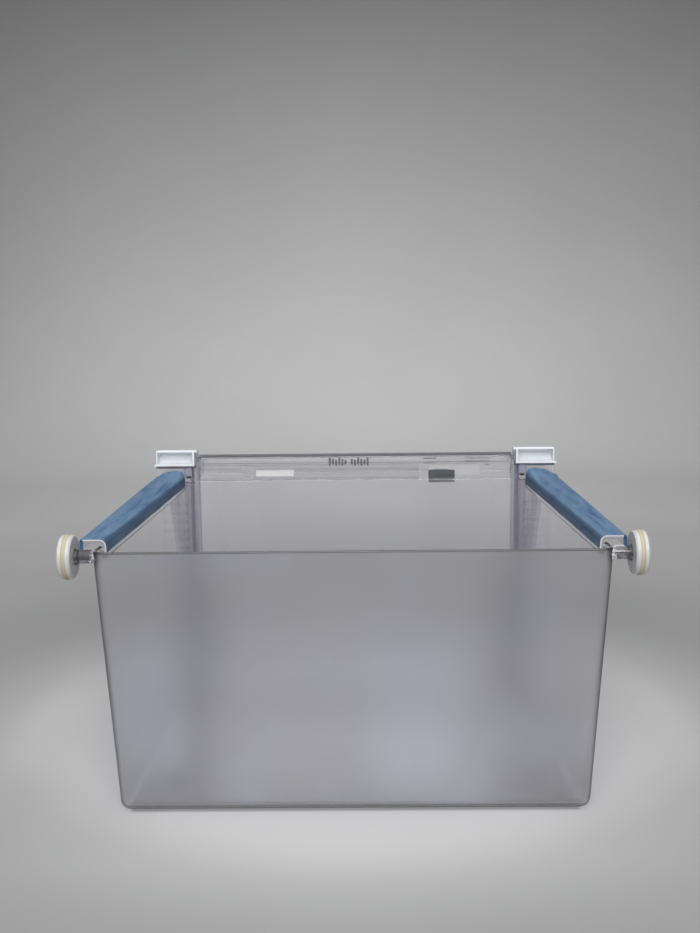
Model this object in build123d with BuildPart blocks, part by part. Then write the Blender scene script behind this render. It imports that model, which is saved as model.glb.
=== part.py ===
"""Crisper drawer: a clear moulded tub on two rollers, with a clear front panel and a humidity slider.

Millimetres, +Z up, front panel towards -Y, rear wall towards +Y, left and right as seen from the front.
The origin is on the floor, under the middle of the whole drawer.
"""

import os
from math import hypot, radians, tan

from build123d import *

os.makedirs("parts", exist_ok=True)

# Tub: outside sizes, walls and drafts of the clear moulding
rim_width = 351.0
rim_height = 188.0
tub_depth = 312.0
side_wall = 2.4
rear_wall = 2.4
front_wall = 2.4
base_wall = 2.6
side_draft = 3.3
rear_draft = 2.2
front_draft = 0.5
front_narrowing = 10.0
corner_radius = 8.0
bottom_radius = 7.5
rim_edge = 1.0
foot_height = 1.2
foot_radius = 5.0
foot_edge_gap = 17.5
foot_edge = 0.4
foot_setback = 65.0

# Rails: the wall jogs inward below the rim, rises and turns over outward as a flange
rail_flange = 11.5
rail_rise = 4.9
rail_start = 20.0
rail_front_inset = 6.0
rail_wall = 2.2
rail_lip = 6.4
rail_corner = 4.4
rail_under_corner = 2.2
rail_step_drop = 12.4
rail_step = 3.4

# Shoulders: the raised front corners that carry the caps
shoulder_rise = 9.6
shoulder_depth = 5.8
shoulder_wall = 2.2
shelf_depth = 11.6
shelf_inset = 0.3
release_height = 5.8

# Axles: split pins moulded on the rear corners
axle_setback = 8.0
axle_drop = 4.2
axle_radius = 4.7
axle_root_in = 2.3
collar_radius = 5.7
collar_width = 1.4
split_width = 1.8
split_drop = 2.5
split_start = 1.5
barb_rise = 0.7
barb_length = 1.5
axle_play = 0.3

# Rollers and their tyres
roller_gap = 0.6
roller_width = 9.0
flange_radius = 14.9
flange_width = 3.0
tyre_radius = 15.5
tyre_depth = 2.7
tyre_side_gap = 0.05
tyre_crown = 0.35
bore_clearance = 0.05
hub_recess_radius = 8.6
hub_recess_depth = 2.0
dish_radius = 12.4
dish_depth = 0.8
dish_width = 2.4
roller_edge = 1.0

# Front panel
panel_side_over = 0.5
panel_gap = 6.0
panel_wall = 2.4
panel_bottom = 4.0
panel_corner = 7.0
post_to_cap = 3.7
post_width = 8.4
post_head_depth = 3.0
post_bottom = 12.0
post_clearance = 0.2
return_wall = 2.6
return_depth = 5.4
ear_rib_drop = 39.0
ear_rib_pitch = 8.4
ear_rib_count = 6
ear_rib_wall = 1.4
ear_rib_depth = 2.6
ear_rib_inset = 5.2
strip_rib_rise = 0.2
strip_rib_wall = 1.2
strip_rib_depth = 4.6
tongue_height = 2.2
tongue_width = 24.0

# Handle along the top of the front panel
handle_rise = 9.5
handle_slope = 3.6
handle_reach = 22.0
handle_drop = 21.5
handle_wall = 2.6
handle_nose = 5.5
handle_end_wall = 2.0
handle_edge = 1.3
handle_lip_edge = 0.8
handle_root_drop = 0.45

# Corner caps
cap_width = 36.4
cap_side_over = 0.5
cap_height = 14.8
cap_slope = 3.0
cap_nose = 6.0
cap_wall = 1.8
cap_overhang = 2.7
cap_seat_gap = 0.2
cap_front_over = 0.6
cap_lip_out = 1.5
cap_lip_height = 1.2
cap_scoop_depth = 13.0
cap_scoop_curve = 7.5
cap_scoop_top_curve = 2.5
cap_rear_edge = 0.6
cap_front_edge = 0.9
cap_side_edge = 1.8
cap_leg_width = 5.8
cap_leg_inset = 3.0
cap_leg_wall = 2.2
cap_leg_length = 9.6
cap_leg_setback = 3.4
cap_leg_clearance = 0.25

# Film on the rails
film_wall = 0.35
film_gap = 0.02
film_drop = 8.9
film_edge = 0.1
film_end_gap = 3.5

# Humidity control on the back of the handle strip
guide_end_gap = 0.6
guide_from_knob = 21.4
guide_drop = 15.0
guide_height = 14.2
guide_web = 1.0
guide_depth = 4.4
guide_flange = 1.0
guide_lip = 0.9
guide_seat = 0.1
clip_from_post = 52.2
clip_width = 13.2
clip_rise = 0.5
clip_slot_width = 4.4
clip_slot_height = 7.1
clip_slot_depth = 2.2
window_from_post = 89.2
window_width = 36.1
window_rise = 3.2
window_height = 6.5
link_height = 7.7
link_wall = 1.8
link_side_gap = 0.25
link_window_gap = 0.2
link_joint = 0.1
link_block_inset = 10.5
link_block_width = 10.0
link_block_wall = 2.8
shutter_reach = 36.1
shutter_inner_reach = 12.1
shutter_rise = 3.1
shutter_height = 9.9
shutter_wall = 1.2
shutter_corner = 0.6
slider_gap = 0.3
knob_from_post = 65.5
knob_width = 24.7
knob_drop = 3.3
knob_height = 11.5
knob_wall = 2.6
knob_corner = 1.0
knob_seat = 0.05
knob_groove_rise = 6.4
knob_groove_width = 1.0
knob_groove_depth = 0.9
knob_groove_length = 16.0
knob_teeth = 7
knob_tooth_radius = 0.85
knob_tooth_pitch = 2.1
neck_width = 9.0
neck_height = 3.6
neck_rise = 0.6
grip_width = 20.0
grip_drop = 4.1
grip_height = 9.0
grip_wall = 3.4
grip_ribs = 6
grip_rib_pitch = 2.8
grip_rib_radius = 0.6
slider_travel = 24.0

# Places that follow from the sizes above
panel_setback = tub_depth + panel_gap
drawer_depth = panel_setback + panel_wall + handle_reach - handle_wall
wheel_overhang = tyre_radius - axle_setback
rear_y = (drawer_depth - wheel_overhang) / 2
side_slope = front_narrowing / tub_depth
side_lean = tan(radians(side_draft))
rear_lean = tan(radians(rear_draft))
front_lean = tan(radians(front_draft))
rail_outer = rim_width / 2 + rail_flange
rail_top = rim_height + rail_rise
rail_end = tub_depth - rail_front_inset
rail_step_height = rail_top - rail_step_drop
shoulder_top = rail_top + shoulder_rise
roller_back = rail_outer + roller_gap
roller_face = roller_back + roller_width
axle_y = rear_y - axle_setback
axle_height = rim_height - axle_drop
panel_half = rail_outer + panel_side_over
panel_y = rear_y - panel_setback
panel_front_y = panel_y - panel_wall
cap_outer = rail_outer + cap_side_over
cap_inner = cap_outer - cap_width
cap_bottom = shoulder_top + cap_seat_gap
cap_top = cap_bottom + cap_height
post_inner = cap_inner - post_to_cap
handle_top = shoulder_top + handle_rise
handle_lip = handle_top - handle_drop
film_end = rail_end - film_end_gap
guide_bottom = shoulder_top - guide_drop
window_from = post_inner - window_from_post
window_low = guide_bottom + window_rise
knob_centre = knob_from_post - post_inner
guide_left = knob_centre + guide_from_knob
knob_low = guide_bottom - knob_drop
shutter_low = guide_bottom + shutter_rise
neck_low = shutter_low + neck_rise
grip_low = neck_low - grip_drop


def setback(distance):
    """The y of a place this far in front of the rear rim."""
    return rear_y - distance


def side_x(distance, height):
    """The outside of the right side wall, this far from the rear rim and this high."""
    return rim_width / 2 - side_slope * distance - side_lean * (rim_height - height)


def tub_block(side, rear, front, floor, top, corner, bottom):
    """A block between the tub's drafted walls, each moved in by the thickness given for it."""
    walls = [
        Plane(origin=(rim_width / 2, rear_y, rim_height), z_dir=(1, -side_slope, -side_lean)).offset(-side),
        Plane(origin=(-rim_width / 2, rear_y, rim_height), z_dir=(-1, -side_slope, -side_lean)).offset(-side),
        Plane(origin=(0, rear_y, rim_height), z_dir=(0, 1, -rear_lean)).offset(-rear),
        Plane(origin=(0, setback(tub_depth), rim_height), z_dir=(0, -1, -front_lean)).offset(-front),
    ]
    with BuildPart() as block:
        with Locations((0, setback(tub_depth / 2), floor)):
            Box(rim_width, tub_depth, top - floor, align=(Align.CENTER, Align.CENTER, Align.MIN))
        for wall in walls:
            split(bisect_by=wall, keep=Keep.BOTTOM)
        upright = block.edges().filter_by(lambda edge: abs(edge.tangent_at(0.5).Z) > 0.5)
        fillet(upright, corner)
        fillet(block.faces().sort_by(Axis.Z)[0].edges(), bottom)
    return block.part


# The rail's section is drawn square to the side wall, which runs in towards the front.
# It starts a wall's thickness early and is then cut straight across at the rail's rear end.
lean_in_plan = side_lean / hypot(1, side_slope)
section_start = rail_start - rail_wall
rail_plane = Plane(
    origin=(side_x(section_start, rim_height), setback(section_start), 0),
    x_dir=(1, -side_slope, 0),
    z_dir=(-side_slope, -1, 0),
)
rail_length = (rail_end - section_start) * hypot(1, side_slope)
flange_reach = rail_outer - side_x(tub_depth, rim_height) + rail_wall
rail_rear_cut = Plane(origin=(0, setback(rail_start), 0), z_dir=(0, 1, 0))


def wall_offset(height):
    """How far the side wall's outside stands out from its rim line at this height."""
    return lean_in_plan * (height - rim_height)


leg_inner = -side_wall - rail_step
leg_outer = leg_inner + rail_wall
jog_top = rail_step_height + rail_wall


def channel_cut():
    """What is taken off the outside of the right-hand side wall, beside the rail's leg."""
    with BuildPart() as cut:
        with BuildSketch(rail_plane):
            with BuildLine():
                Polyline(
                    (wall_offset(jog_top) + leg_outer, jog_top),
                    (flange_reach, jog_top),
                    (flange_reach, rail_top),
                    (wall_offset(rail_top) + leg_outer, rail_top),
                    close=True,
                )
            make_face()
        extrude(amount=rail_length)
        split(bisect_by=Plane(origin=(0, setback(rail_start + rail_wall), 0), z_dir=(0, 1, 0)), keep=Keep.BOTTOM)
        split(bisect_by=Plane(origin=(0, setback(rail_end - rail_wall), 0), z_dir=(0, 1, 0)), keep=Keep.TOP)
    return cut.part


def side_fittings():
    """The right-hand rail, shoulder and axle."""
    with BuildPart() as fittings:
        with BuildSketch(rail_plane) as section:
            with BuildLine():
                Polyline(
                    (wall_offset(rail_step_height), rail_step_height),
                    (wall_offset(jog_top), jog_top),
                    (wall_offset(jog_top) + leg_outer, jog_top),
                    (wall_offset(rail_top - rail_wall) + leg_outer, rail_top - rail_wall),
                    (flange_reach, rail_top - rail_wall),
                    (flange_reach, rail_top),
                    (wall_offset(rail_top) + leg_inner, rail_top),
                    (wall_offset(rail_step_height) + leg_inner, rail_step_height),
                    close=True,
                )
            make_face()
            top_corner = (wall_offset(rail_top) + leg_inner, rail_top)
            under_corner = (wall_offset(rail_top - rail_wall) + leg_outer, rail_top - rail_wall)
            fillet(section.vertices().sort_by_distance(top_corner)[:1], rail_corner)
            fillet(section.vertices().sort_by_distance(under_corner)[:1], rail_under_corner)
        extrude(amount=rail_length)
        split(bisect_by=Plane(origin=(rail_outer, 0, 0), z_dir=(1, 0, 0)), keep=Keep.BOTTOM)
        split(bisect_by=rail_rear_cut, keep=Keep.BOTTOM)

        # Webs close both ends of the jog, from the middle of the rail's leg to the middle of the wall
        web_inner = leg_inner + rail_wall / 2
        for web_from in (rail_start, rail_end - rail_wall):
            with Locations((side_x(web_from, jog_top) + web_inner, setback(web_from), jog_top)):
                Box(-side_wall / 2 - web_inner, rail_wall, rim_height - rim_edge - jog_top,
                    align=(Align.MIN, Align.MAX, Align.MIN))
        with Locations((rail_outer, setback(rail_start), rail_top)):
            Box(rail_wall, rail_end - rail_start, rail_lip, align=(Align.MAX, Align.MAX, Align.MAX))
        outer_edge = fittings.edges().filter_by(Axis.Y).sort_by_distance((rail_outer, 0, rail_top))[0]
        fillet(outer_edge, rail_wall / 2)

        # Shoulder: rear and outer plates under a shelf, with the leg's slot and a release window
        shoulder_low = rail_top - rail_lip
        shoulder_height = shoulder_top - shoulder_low
        shoulder_width = rail_outer - cap_inner + shelf_inset
        with Locations((rail_outer, setback(rail_end), shoulder_top)):
            Box(shoulder_width, shoulder_wall, shoulder_height, align=(Align.MAX, Align.MAX, Align.MAX))
            Box(shoulder_wall, shoulder_depth, shoulder_height, align=(Align.MAX, Align.MAX, Align.MAX))
            Box(shoulder_width, shelf_depth, shoulder_wall, align=(Align.MAX, Align.MAX, Align.MAX))
        with Locations((side_x(tub_depth, rim_height), setback(tub_depth), shoulder_top)):
            Box(side_wall, tub_depth - rail_end, shoulder_top - rail_step_height,
                align=(Align.MAX, Align.MIN, Align.MAX))
        leg_x = cap_inner + cap_leg_inset
        leg_y = setback(rail_end + cap_leg_setback)
        leg_end = cap_bottom - cap_leg_length
        with Locations((leg_x - cap_leg_clearance, leg_y + cap_leg_clearance, shoulder_top)):
            Box(cap_leg_width + 2 * cap_leg_clearance, cap_leg_wall + 2 * cap_leg_clearance, 3 * shoulder_wall,
                align=(Align.MIN, Align.MAX, Align.CENTER), mode=Mode.SUBTRACT)
        with Locations((leg_x, setback(rail_end), leg_end)):
            Box(cap_leg_width, 2 * shoulder_wall, release_height,
                align=(Align.MIN, Align.CENTER, Align.MAX), mode=Mode.SUBTRACT)

        # Axle: a pin rooted in the corner, with a collar inside the roller and barbs outside it
        root_x = rim_width / 2 - axle_root_in
        collar_x = roller_back - axle_play
        barb_x = roller_face - hub_recess_depth + axle_play
        end_x = barb_x + barb_length
        with BuildSketch(Plane.YZ.offset(root_x)):
            with Locations((axle_y, axle_height)):
                Circle(axle_radius)
        extrude(amount=end_x - root_x)
        with BuildSketch(Plane.YZ.offset(collar_x - collar_width)):
            with Locations((axle_y, axle_height)):
                Circle(collar_radius)
        extrude(amount=collar_width)
        barb_plane = Plane(origin=(barb_x, axle_y, axle_height), z_dir=(1, 0, 0))
        with BuildSketch(barb_plane):
            Circle(axle_radius + barb_rise)
        with BuildSketch(barb_plane.offset(barb_length)):
            Circle(axle_radius - barb_rise)
        loft()
        slot_x = rim_width / 2 + split_start
        with Locations((slot_x, axle_y, axle_height - split_drop)):
            Box(rail_outer, 4 * axle_radius, split_width, align=(Align.MIN, Align.CENTER, Align.CENTER),
                mode=Mode.SUBTRACT)
    return fittings.part


cut = channel_cut()
fittings = side_fittings()
with BuildPart() as tub:
    add(tub_block(0, 0, 0, foot_height, rim_height, corner_radius, bottom_radius))
    for place in (foot_setback, tub_depth - foot_setback):
        foot_x = side_x(place, foot_height) - foot_edge_gap
        with BuildSketch(Plane.XY):
            with Locations((foot_x, setback(place)), (-foot_x, setback(place))):
                Circle(foot_radius)
        extrude(amount=foot_height + base_wall / 2)
    fillet(tub.faces().sort_by(Axis.Z)[:4].edges(), foot_edge)
    cavity = tub_block(
        side_wall, rear_wall, front_wall, foot_height + base_wall, rim_height,
        corner_radius - side_wall, bottom_radius - side_wall,
    )
    add(cavity, mode=Mode.SUBTRACT)
    fillet(tub.faces().sort_by(Axis.Z)[-1].edges(), rim_edge)
    add(cut, mode=Mode.SUBTRACT)
    mirror(cut, about=Plane.YZ, mode=Mode.SUBTRACT)
    add(fittings)
    mirror(fittings, about=Plane.YZ)
tub.part.label = "tub"
export_step(tub.part, "parts/tub.step")


def beside_front_wall():
    """The plane that the panel's posts rest against, just clear of the tub's front wall."""
    wall = Plane(origin=(0, setback(tub_depth), rim_height), z_dir=(0, -1, -front_lean))
    return wall.offset(post_clearance)


def panel_side():
    """The right-hand post, return flange and ear ribs on the back of the panel."""
    with BuildPart() as side:
        with Locations((post_inner, panel_y, post_bottom)):
            Box(post_width, 2 * panel_gap, shoulder_top - shoulder_wall - post_clearance - post_bottom,
                align=(Align.MIN, Align.MIN, Align.MIN))
        split(bisect_by=beside_front_wall(), keep=Keep.TOP)
        head_width = cap_inner - shelf_inset - post_clearance - post_inner
        head_height = handle_top - handle_wall - shoulder_top + shoulder_wall + post_clearance
        with Locations((post_inner, panel_y, handle_top - handle_wall)):
            Box(head_width, post_head_depth, head_height, align=(Align.MIN, Align.MIN, Align.MAX))
        with Locations((panel_half, panel_y, panel_bottom + panel_corner)):
            Box(return_wall, return_depth, rail_top - rail_lip - panel_bottom - panel_corner - return_wall,
                align=(Align.MAX, Align.MIN, Align.MIN))
        ear_rib_inner = post_inner + post_width + ear_rib_inset
        for rib in range(ear_rib_count):
            with Locations((ear_rib_inner, panel_y, shoulder_top - ear_rib_drop - rib * ear_rib_pitch)):
                Box(panel_half - return_wall - ear_rib_inner, ear_rib_depth, ear_rib_wall,
                    align=(Align.MIN, Align.MIN, Align.CENTER))
    return side.part


slot_left = knob_centre - slider_travel - neck_width / 2 - slider_gap
slot_right = knob_centre + neck_width / 2 + slider_gap
handle_ends = cap_inner - cap_overhang - cap_seat_gap

with BuildPart() as front_panel:
    panel_height = shoulder_top - panel_bottom
    with BuildSketch(Plane.XZ.offset(-panel_y)) as outline:
        with Locations((0, panel_bottom)):
            Rectangle(2 * panel_half, panel_height, align=(Align.CENTER, Align.MIN))
        fillet(outline.vertices().group_by(Axis.Y)[0], panel_corner)
        tongue_x = (cap_inner + cap_outer) / 2
        with Locations((tongue_x, shoulder_top), (-tongue_x, shoulder_top)):
            Rectangle(tongue_width, tongue_height, align=(Align.CENTER, Align.MIN))
    extrude(amount=panel_wall)

    # The handle: an arch from the strip forward over the fingers, closed at both ends
    nose_y = panel_front_y - handle_reach + handle_wall
    with BuildSketch(Plane.YZ.offset(-handle_ends)) as arch:
        with BuildLine():
            FilletPolyline(
                (panel_y, shoulder_top - panel_wall),
                (panel_y, handle_top),
                (nose_y, handle_top - handle_slope),
                (nose_y, handle_lip),
                (nose_y + handle_wall, handle_lip),
                (nose_y + handle_wall, handle_top - handle_slope - handle_wall),
                (panel_front_y, handle_top - handle_wall - handle_root_drop),
                (panel_front_y, shoulder_top - panel_wall),
                radius=[0, handle_edge, handle_nose, handle_lip_edge, handle_lip_edge,
                        handle_nose - handle_wall, handle_edge, 0],
                close=True,
            )
        make_face()
    extrude(amount=2 * handle_ends)
    with BuildSketch(Plane.YZ.offset(handle_ends - handle_end_wall)) as end_plate:
        with BuildLine():
            FilletPolyline(
                (panel_y, shoulder_top - panel_wall),
                (panel_y, handle_top),
                (nose_y, handle_top - handle_slope),
                (nose_y, handle_lip),
                (panel_front_y, handle_lip),
                radius=[0, handle_edge, handle_nose, handle_lip_edge, 0],
                close=True,
            )
        make_face()
    extrude(amount=handle_end_wall)
    mirror(front_panel.part.solids(), about=Plane.YZ)

    # Behind the strip: the long rib, the posts, the return flanges and the ear ribs
    with Locations((0, panel_y, shoulder_top + strip_rib_rise)):
        Box(2 * post_inner, strip_rib_depth, strip_rib_wall, align=(Align.CENTER, Align.MIN, Align.CENTER))
    side_ribs = panel_side()
    add(side_ribs)
    mirror(side_ribs, about=Plane.YZ)

    # The vent window and the slot that the knob's neck slides in
    with BuildSketch(Plane.XZ.offset(-panel_y)):
        with Locations((window_from, window_low)):
            Rectangle(window_width, window_height, align=(Align.MIN, Align.MIN))
        with Locations(((slot_left + slot_right) / 2, neck_low + neck_height / 2)):
            Rectangle(slot_right - slot_left, neck_height + 2 * slider_gap)
    extrude(amount=panel_wall, mode=Mode.SUBTRACT)
front_panel.part.label = "front_panel"
export_step(front_panel.part, "parts/front_panel.step")


def rail_film(name, side):
    """Protective film over the top and the inner face of one rail."""
    inner = leg_inner - film_gap
    low = rail_top - film_drop
    with BuildPart() as film:
        with BuildSketch(rail_plane) as section:
            with BuildLine():
                FilletPolyline(
                    (wall_offset(low) + inner, low),
                    (wall_offset(rail_top + film_gap) + inner, rail_top + film_gap),
                    (flange_reach, rail_top + film_gap),
                    (flange_reach, rail_top + film_gap + film_wall),
                    (wall_offset(rail_top + film_gap) + inner - film_wall, rail_top + film_gap + film_wall),
                    (wall_offset(low) + inner - film_wall, low),
                    radius=[0, rail_corner + film_gap, 0, 0, rail_corner + film_gap + film_wall, 0],
                    close=True,
                )
            make_face()
        extrude(amount=rail_length)
        split(bisect_by=Plane(origin=(rail_outer - film_edge, 0, 0), z_dir=(1, 0, 0)), keep=Keep.BOTTOM)
        split(bisect_by=Plane(origin=(0, setback(film_end), 0), z_dir=(0, 1, 0)), keep=Keep.TOP)
        split(bisect_by=rail_rear_cut, keep=Keep.BOTTOM)
        if side < 0:
            mirror(film.part.solids(), about=Plane.YZ, mode=Mode.REPLACE)
    film.part.label = name
    export_step(film.part, f"parts/{name}.step")


rail_film("rail_film_left", -1)
rail_film("rail_film_right", 1)


def corner_cap(name, side):
    """White cap on a front corner: a box with an open rear, a lip and a leg that locks the panel on."""
    rear = setback(rail_end)
    front = panel_front_y - handle_reach + handle_wall - cap_front_over + handle_nose
    reach = rear - front
    with BuildPart() as cap:
        with BuildSketch(Plane.YZ.offset(cap_inner)):
            with BuildLine():
                FilletPolyline(
                    (rear, cap_bottom),
                    (rear, cap_top),
                    (front, cap_top - cap_slope),
                    (front, cap_bottom),
                    radius=[0, cap_rear_edge, cap_nose, cap_front_edge],
                    close=True,
                )
            make_face()
        extrude(amount=cap_width)
        outer_face = cap.faces().sort_by(Axis.X)[-1]
        fillet(outer_face.edges().sort_by(Axis.Z)[-1], cap_side_edge)

        # The recess that shows from behind curves forward and down like a scoop
        inside = cap_width - 2 * cap_wall
        scoop_top = cap_top - cap_wall
        scoop_back = rear - cap_scoop_depth
        with BuildSketch(Plane.YZ.offset(cap_inner + cap_wall)):
            with BuildLine():
                FilletPolyline(
                    (rear, cap_bottom + cap_wall),
                    (rear, scoop_top),
                    (scoop_back, scoop_top - cap_slope * cap_scoop_depth / reach),
                    (scoop_back, cap_bottom + cap_wall),
                    radius=[0, 0, cap_scoop_top_curve, cap_scoop_curve],
                    close=True,
                )
            make_face()
        extrude(amount=inside, mode=Mode.SUBTRACT)

        # Top slab over the end of the handle strip, and the small lip at the outer foot
        with Locations((cap_inner, rear, cap_top)):
            Box(cap_overhang, cap_leg_setback, cap_wall, align=(Align.MAX, Align.MAX, Align.MAX))
        with Locations((cap_outer - cap_wall, rear, cap_bottom)):
            Box(cap_lip_out + cap_wall, cap_leg_setback, cap_lip_height, align=(Align.MIN, Align.MAX, Align.MIN))

        # Leg through the shoulder's slot, and the groove that takes the panel's tongue
        with Locations((cap_inner + cap_leg_inset, setback(rail_end + cap_leg_setback), cap_bottom)):
            Box(cap_leg_width, cap_leg_wall, cap_leg_length, align=(Align.MIN, Align.MAX, Align.MAX))
        with Locations(((cap_inner + cap_outer) / 2, panel_y - panel_wall / 2, cap_bottom)):
            Box(tongue_width + 2 * cap_leg_clearance, panel_wall + 2 * cap_leg_clearance, 2 * tongue_height,
                mode=Mode.SUBTRACT)
        if side < 0:
            mirror(cap.part.solids(), about=Plane.YZ, mode=Mode.REPLACE)
    cap.part.label = name
    export_step(cap.part, f"parts/{name}.step")


corner_cap("corner_cap_left", -1)
corner_cap("corner_cap_right", 1)


def roller_pair(name, side):
    """One roller, turned about its axle, and the tyre that sits in its groove."""
    axis = Axis((0, axle_y, axle_height), (1, 0, 0))
    turned = Plane(origin=(side * roller_back, axle_y, axle_height), x_dir=(side, 0, 0), z_dir=(0, -side, 0))
    bore = axle_radius + bore_clearance
    groove = tyre_radius - tyre_depth
    groove_from = flange_width
    groove_to = roller_width - flange_width
    with BuildPart() as roller:
        with BuildSketch(turned) as half:
            with BuildLine():
                Polyline(
                    (0, bore),
                    (0, flange_radius - roller_edge),
                    (roller_edge, flange_radius),
                    (groove_from, flange_radius),
                    (groove_from, groove),
                    (groove_to, groove),
                    (groove_to, flange_radius),
                    (roller_width - roller_edge, flange_radius),
                    (roller_width, flange_radius - roller_edge),
                    (roller_width, dish_radius),
                    (roller_width - dish_depth, dish_radius - dish_depth),
                    (roller_width - dish_depth, dish_radius - dish_width),
                    (roller_width, dish_radius - dish_width - dish_depth),
                    (roller_width, hub_recess_radius),
                    (roller_width - hub_recess_depth, hub_recess_radius),
                    (roller_width - hub_recess_depth, bore),
                    close=True,
                )
            make_face()
        revolve(axis=axis)
    roller.part.label = f"roller_{name}"
    export_step(roller.part, f"parts/roller_{name}.step")

    with BuildPart() as tyre:
        with BuildSketch(turned):
            with BuildLine():
                low = groove + tyre_side_gap
                start = groove_from + tyre_side_gap
                end = groove_to - tyre_side_gap
                Polyline((start, tyre_radius - tyre_crown), (start, low), (end, low), (end, tyre_radius - tyre_crown))
                ThreePointArc(
                    (start, tyre_radius - tyre_crown), (roller_width / 2, tyre_radius), (end, tyre_radius - tyre_crown)
                )
            make_face()
        revolve(axis=axis)
    tyre.part.label = f"roller_tyre_{name}"
    export_step(tyre.part, f"parts/roller_tyre_{name}.step")


roller_pair("left", -1)
roller_pair("right", 1)

# Guide: a clear channel behind the strip, open to the rear, with a clip and a window
with BuildPart() as vent_guide:
    guide_length = post_inner - guide_end_gap - guide_left
    guide_y = panel_y + guide_seat
    with Locations((guide_left, guide_y, guide_bottom)):
        Box(guide_length, guide_web, guide_height, align=(Align.MIN, Align.MIN, Align.MIN))
        Box(guide_length, guide_depth, guide_flange, align=(Align.MIN, Align.MIN, Align.MIN))
    with Locations((guide_left, guide_y, guide_bottom + guide_height)):
        Box(guide_length, guide_depth, guide_flange, align=(Align.MIN, Align.MIN, Align.MAX))
    with Locations((guide_left, guide_y + guide_depth, guide_bottom)):
        Box(guide_length, guide_lip, guide_flange + guide_lip, align=(Align.MIN, Align.MAX, Align.MIN))
    keeper_low = guide_bottom + guide_flange + link_height + 2 * link_side_gap
    with Locations((guide_left, guide_y, keeper_low)):
        Box(guide_length, guide_depth - guide_lip, guide_flange, align=(Align.MIN, Align.MIN, Align.MIN))
    clip_from = post_inner - clip_from_post
    with Locations((clip_from, guide_y, guide_bottom)):
        Box(clip_width, guide_depth + clip_rise, guide_height, align=(Align.MIN, Align.MIN, Align.MIN))
    clip_middle = clip_from + clip_width / 2
    with Locations((clip_middle, guide_y + guide_depth + clip_rise, guide_bottom + guide_height / 2)):
        Box(clip_slot_width, clip_slot_depth, clip_slot_height, align=(Align.CENTER, Align.MAX, Align.CENTER),
            mode=Mode.SUBTRACT)
    with Locations((window_from, panel_y, window_low)):
        Box(window_width, guide_depth * 2, window_height, align=(Align.MIN, Align.CENTER, Align.MIN),
            mode=Mode.SUBTRACT)
vent_guide.part.label = "vent_guide"
export_step(vent_guide.part, "parts/vent_guide.step")

# Link: the clear bar that slides in the guide and is pulled by the shutter
link_y = panel_y + guide_seat + guide_web + link_side_gap
link_low = guide_bottom + guide_flange + link_side_gap
link_left = knob_centre + knob_width / 2 + link_joint
link_right = window_from - link_window_gap
with BuildPart() as vent_link:
    with Locations((link_left, link_y, link_low)):
        Box(link_right - link_left, link_wall, link_height, align=(Align.MIN, Align.MIN, Align.MIN))
    with Locations((guide_left + link_block_inset, link_y, link_low + guide_lip)):
        Box(link_block_width, link_block_wall, link_height - guide_lip, align=(Align.MAX, Align.MIN, Align.MIN))
vent_link.part.label = "vent_link"
export_step(vent_link.part, "parts/vent_link.step")

# Shutter: the white plate that the knob carries along the strip
shutter_y = panel_y + slider_gap
with BuildPart() as vent_shutter:
    with Locations((knob_centre - shutter_reach, shutter_y, shutter_low)):
        Box(shutter_reach + shutter_inner_reach, shutter_wall, shutter_height,
            align=(Align.MIN, Align.MIN, Align.MIN))
    fillet(vent_shutter.edges().filter_by(Axis.Y), shutter_corner)
    with Locations((knob_centre, shutter_y, neck_low + neck_height / 2)):
        Box(neck_width + slider_gap, 4 * shutter_wall, neck_height + slider_gap, mode=Mode.SUBTRACT)
vent_shutter.part.label = "vent_shutter"
export_step(vent_shutter.part, "parts/vent_shutter.step")

# Knob: a ribbed plate behind the strip, a neck through its slot and a ribbed grip in the handle
knob_y = shutter_y + shutter_wall + knob_seat
grip_y = panel_front_y - slider_gap
with BuildPart() as humidity_knob:
    with BuildSketch(Plane.XZ.offset(-knob_y - knob_wall)):
        with Locations((knob_centre, knob_low)):
            Rectangle(knob_width, knob_height, align=(Align.CENTER, Align.MIN))
        fillet(vertices(), knob_corner)
        with Locations((knob_centre + knob_corner, knob_low + knob_height)):
            with GridLocations(knob_tooth_pitch, 0, knob_teeth, 1):
                Circle(knob_tooth_radius)
    extrude(amount=knob_wall)
    with Locations((knob_centre - knob_width / 2, knob_y + knob_wall, knob_low + knob_groove_rise)):
        Box(knob_groove_length, knob_groove_depth, knob_groove_width,
            align=(Align.MIN, Align.MAX, Align.CENTER), mode=Mode.SUBTRACT)
    with Locations((knob_centre, knob_y, neck_low)):
        Box(neck_width, knob_y - grip_y, neck_height, align=(Align.CENTER, Align.MAX, Align.MIN))
    with Locations((knob_centre, grip_y, grip_low)):
        Box(grip_width, grip_wall, grip_height, align=(Align.CENTER, Align.MAX, Align.MIN))
    fillet(humidity_knob.faces().sort_by(Axis.Y)[0].edges(), knob_corner)
    with BuildSketch(Plane.XY.offset(grip_low + knob_corner)):
        with Locations((knob_centre, grip_y - grip_wall)):
            with GridLocations(grip_rib_pitch, 0, grip_ribs, 1):
                Circle(grip_rib_radius)
    extrude(amount=grip_height - 2 * knob_corner)
humidity_knob.part.label = "humidity_knob"
export_step(humidity_knob.part, "parts/humidity_knob.step")
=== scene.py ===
"""Looks of a crisper drawer: a clear tub on two rollers, seen from behind, with film still on its rails.

Metres, +Z up, front panel towards -Y, rear wall towards +Y, left and right as seen from the front.
"""

from math import atan, cos, pi, radians, sin, tan

import bmesh
import bpy
from mathutils import Matrix, Vector, noise


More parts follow.
